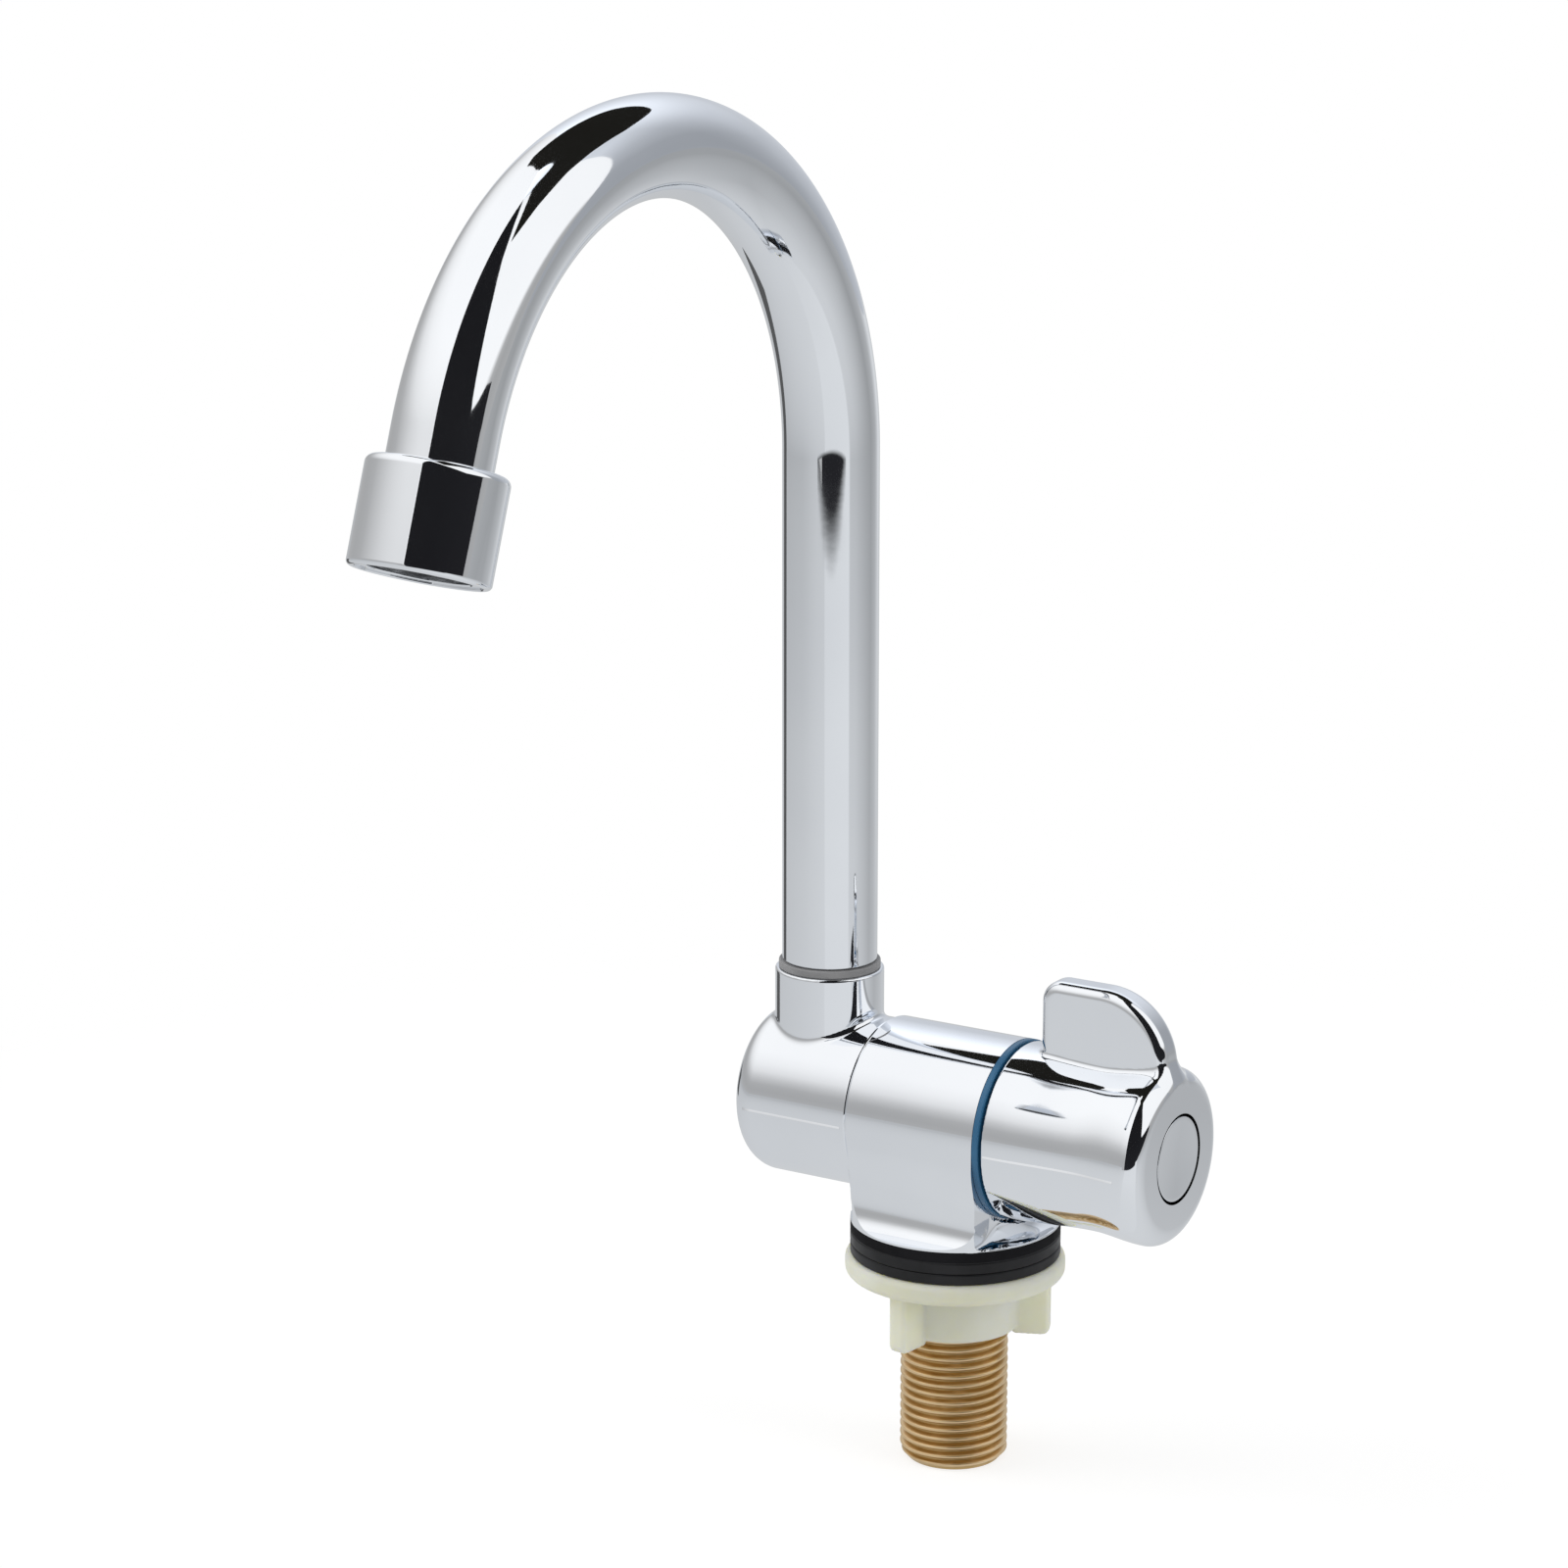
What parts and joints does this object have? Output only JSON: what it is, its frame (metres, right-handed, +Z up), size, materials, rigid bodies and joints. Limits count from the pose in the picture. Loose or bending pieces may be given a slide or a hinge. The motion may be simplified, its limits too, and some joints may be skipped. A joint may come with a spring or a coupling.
{
  "type": "folding tap",
  "caption": "Cold water tap for a small sink: swan-neck spout on a knuckle that folds flat, side handle with a thumb fin, and a threaded inlet held by a plastic nut.",
  "frame": {"origin": "on the shank's axis at deck level, where the base gasket's underside meets the deck", "axes": "+Z up out of the deck along the shank, +X along the barrel towards the handle, -Y the way the spout points at rest"},
  "size_m": [0.0902, 0.1646, 0.2694],
  "materials": {
    "chrome": "polished chrome plate",
    "brass": "machined brass",
    "black_rubber": "moulded rubber",
    "ivory_plastic": "moulded nylon, slightly translucent",
    "blue_plastic": "moulded plastic",
    "grey_nylon": "moulded nylon",
    "steel": "stainless steel",
    "ceramic": "lapped alumina",
    "dark_plastic": "moulded plastic"
  },
  "bodies": {
    "tap_body": {"body": "chrome", "base_gasket": "black_rubber", "shank": "brass", "shank_seal": "black_rubber", "pivot_bolt": "brass", "pivot_gasket": "black_rubber", "thrust_washer": "grey_nylon", "pivot_o_rings": "black_rubber", "pivot_washer": "steel", "pivot_nut": "steel", "indicator_ring": "blue_plastic", "cartridge_housing": "brass", "cartridge_seal": "black_rubber", "cartridge_o_ring": "black_rubber", "fixed_disc": "ceramic"},
    "knuckle": {"knuckle": "chrome", "knuckle_cap": "chrome", "swivel_washer": "grey_nylon"},
    "spout": {"spout_tube": "chrome", "spout_ferrule": "brass", "spout_o_rings": "black_rubber", "spout_snap_ring": "steel", "spout_nozzle": "chrome", "aerator_ring": "chrome", "aerator_washer": "black_rubber", "aerator_screen": "steel", "aerator_insert": "dark_plastic"},
    "handle": {"handle": "chrome", "handle_screw": "steel", "handle_cap": "chrome", "spindle": "brass", "spindle_o_ring": "black_rubber", "spindle_clip": "steel", "moving_disc": "ceramic"},
    "deck_washer": {"deck_washer": "black_rubber"},
    "wing_nut": {"wing_nut": "ivory_plastic"}
  },
  "joints": [
    {"name": "spout_fold", "type": "hinge", "parent": "tap_body", "child": "knuckle", "pos_m": [-0.0287, 0, 0.025], "axis": [1, 0, 0], "range_deg": [-90, 90]},
    {"name": "spout_swivel", "type": "hinge", "parent": "knuckle", "child": "spout", "pos_m": [-0.0287, 0, 0.0509], "axis": [0, 0, 1], "continuous": true},
    {"name": "handle_turn", "type": "hinge", "parent": "tap_body", "child": "handle", "pos_m": [0.03, 0, 0.025], "axis": [1, 0, 0], "range_deg": [0, 90]},
    {"name": "nut_travel", "type": "slide", "parent": "tap_body", "child": "deck_washer", "axis": [0, 0, -1], "range_m": [0, 0.0199]},
    {"name": "nut_spin", "type": "hinge", "parent": "deck_washer", "child": "wing_nut", "pos_m": [0, 0, -0.009], "axis": [0, 0, -1], "range_deg": [0, 3960]}
  ],
  "couplings": [
    {"joint": "nut_spin", "follows": "nut_travel", "rad_per_m": 3463.7}
  ]
}
